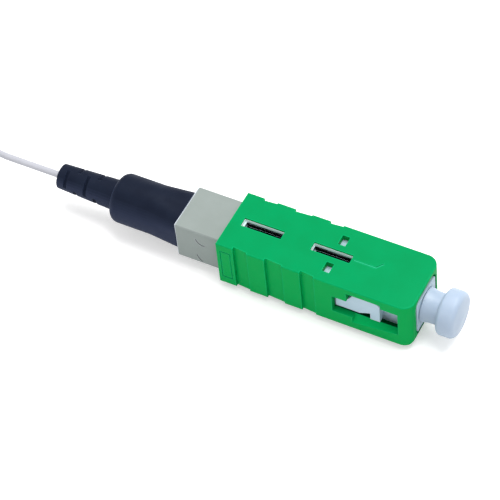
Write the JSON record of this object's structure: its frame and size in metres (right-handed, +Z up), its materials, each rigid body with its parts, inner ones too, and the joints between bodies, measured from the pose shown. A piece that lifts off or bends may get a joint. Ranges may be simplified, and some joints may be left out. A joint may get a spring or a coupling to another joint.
{
  "type": "sc fibre connector",
  "caption": "Angled-polish SC fibre connector with push-pull sleeve, wedge-opened mechanical splice, rubber boot, dust cap and a buffered pigtail.",
  "frame": {"origin": "On the surface that the connector lies on, under the middle of the connector from the boot's rear end to the dust cap's front, without the free cable", "axes": "+X along the connector towards the ferrule and dust cap, +Y across it, +Z up, with the polarising key underneath"},
  "size_m": [0.0977, 0.0138, 0.0083],
  "materials": {
    "housing_green": "satin moulded plastic",
    "frame_white": "fine matt moulded plastic",
    "body_grey": "fine matt moulded plastic",
    "boot_rubber": "satin soft rubber",
    "cable_white": "smooth tight buffer coating",
    "cap_plastic": "soft translucent moulding",
    "ferrule_ceramic": "polished zirconia",
    "flange_metal": "turned metal",
    "splice_black": "glass-filled moulding",
    "spring_steel": "bright spring steel",
    "fibre_glass": "clear glass fibre",
    "tie_tape": "thin wrap tape"
  },
  "bodies": {
    "plug": {"plug_frame": "frame_white", "rear_body": "body_grey", "boot": "boot_rubber", "grip_sleeve": "frame_white", "ferrule_spring": "spring_steel", "fibre_buffer": "cable_white", "cable": "cable_white", "cable_coil": "cable_white", "coil_tie": "tie_tape"},
    "sleeve": {"outer_housing": "housing_green"},
    "ferrule_unit": {"ferrule": "ferrule_ceramic", "ferrule_flange": "flange_metal", "fibre_stub": "fibre_glass", "splice_base": "splice_black", "spring_seat": "frame_white", "bare_fibre": "fibre_glass", "front_clamp": "spring_steel", "rear_clamp": "spring_steel"},
    "front_leaf": {"front_lid": "splice_black"},
    "rear_leaf": {"rear_lid": "splice_black"},
    "cap": {"dust_cap": "cap_plastic"}
  },
  "joints": [
    {"name": "sleeve_slide", "type": "slide", "parent": "plug", "child": "sleeve", "axis": [-1, 0, 0], "range_m": [0, 0.0018]},
    {"name": "cap_pull", "type": "slide", "parent": "plug", "child": "cap", "axis": [1, 0, 0], "range_m": [0, 0.012]},
    {"name": "ferrule_float", "type": "slide", "parent": "plug", "child": "ferrule_unit", "axis": [-1, 0, 0], "range_m": [0, 0.0008], "stiffness_N_per_m": 3000, "deforming": ["ferrule_spring"]},
    {"name": "front_lid_open", "type": "slide", "parent": "ferrule_unit", "child": "front_leaf", "axis": [0, -1, 0], "range_m": [0, 0.00015], "stiffness_N_per_m": 3000, "deforming": ["front_clamp"]},
    {"name": "rear_lid_open", "type": "slide", "parent": "ferrule_unit", "child": "rear_leaf", "axis": [0, -1, 0], "range_m": [0, 0.00015], "stiffness_N_per_m": 3000, "deforming": ["rear_clamp"]}
  ]
}
